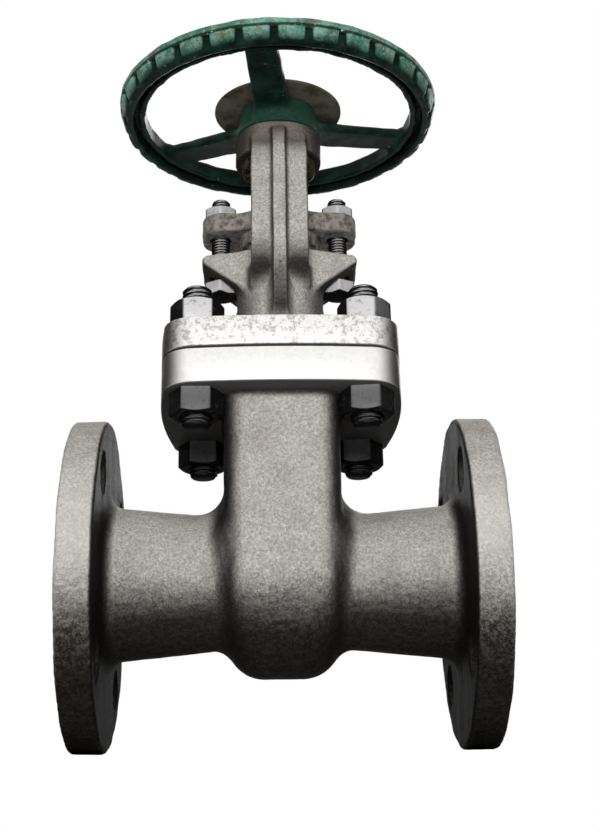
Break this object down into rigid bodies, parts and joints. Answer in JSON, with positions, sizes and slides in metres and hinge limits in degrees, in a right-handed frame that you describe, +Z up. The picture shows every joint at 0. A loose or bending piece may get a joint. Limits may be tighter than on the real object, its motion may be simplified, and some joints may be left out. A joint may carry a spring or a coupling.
{
  "type": "flanged rising-stem gate valve",
  "caption": "Flanged gate valve with a bolted bonnet, an outside yoke and a spoked handwheel that turns a sleeve and lifts the stem and wedge.",
  "frame": {"origin": "centre of the inlet port in the plane of the inlet flange's raised face", "axes": "+X along the pipe from inlet to outlet, +Z up along the stem, +Y completes the right-handed frame and points away from the side shown in the picture"},
  "size_m": [0.165, 0.14, 0.2895],
  "materials": {
    "cast_steel": "shot-blasted stainless casting, matte and grainy, dirty in the hollows",
    "seat_steel": "turned",
    "stem_steel": "turned, lightly greased",
    "bolting": "semi-gloss steel nuts and studs",
    "gland_cast": "rough casting with a brown tint",
    "sleeve_bronze": "dull bronze",
    "gasket": "graphite sheet",
    "packing": "braided graphite",
    "wheel_paint": "worn green paint on cast iron",
    "disc_plate": "dull dark plate"
  },
  "bodies": {
    "valve": {"valve_body": "cast_steel", "inlet_flange": "cast_steel", "outlet_flange": "cast_steel", "seat_ring_inlet": "seat_steel", "seat_ring_outlet": "seat_steel", "bonnet_gasket": "gasket", "bonnet_yoke": "cast_steel", "bonnet_stud_1": "bolting", "bonnet_stud_2": "bolting", "bonnet_stud_3": "bolting", "bonnet_stud_4": "bolting", "bonnet_nut_upper_1": "bolting", "bonnet_nut_upper_2": "bolting", "bonnet_nut_upper_3": "bolting", "bonnet_nut_upper_4": "bolting", "bonnet_nut_lower_1": "bolting", "bonnet_nut_lower_2": "bolting", "bonnet_nut_lower_3": "bolting", "bonnet_nut_lower_4": "bolting", "stem_packing": "packing", "gland": "seat_steel", "gland_flange": "gland_cast", "gland_bolt_left": "bolting", "gland_bolt_right": "bolting", "gland_nut_left": "bolting", "gland_nut_right": "bolting"},
    "wheel": {"yoke_sleeve": "sleeve_bronze", "handwheel": "wheel_paint", "blank_disc": "disc_plate", "wheel_nut": "bolting"},
    "stem": {"stem": "stem_steel", "wedge": "stem_steel"}
  },
  "joints": [
    {"name": "wheel_turn", "type": "hinge", "parent": "valve", "child": "wheel", "pos_m": [0.0825, 0, 0.2], "axis": [0, 0, 1], "range_deg": [0, 3960]},
    {"name": "stem_lift", "type": "slide", "parent": "valve", "child": "stem", "axis": [0, 0, 1], "range_m": [0, 0.04401]}
  ],
  "couplings": [
    {"joint": "stem_lift", "follows": "wheel_turn", "m_per_rad": 0.00063662}
  ]
}
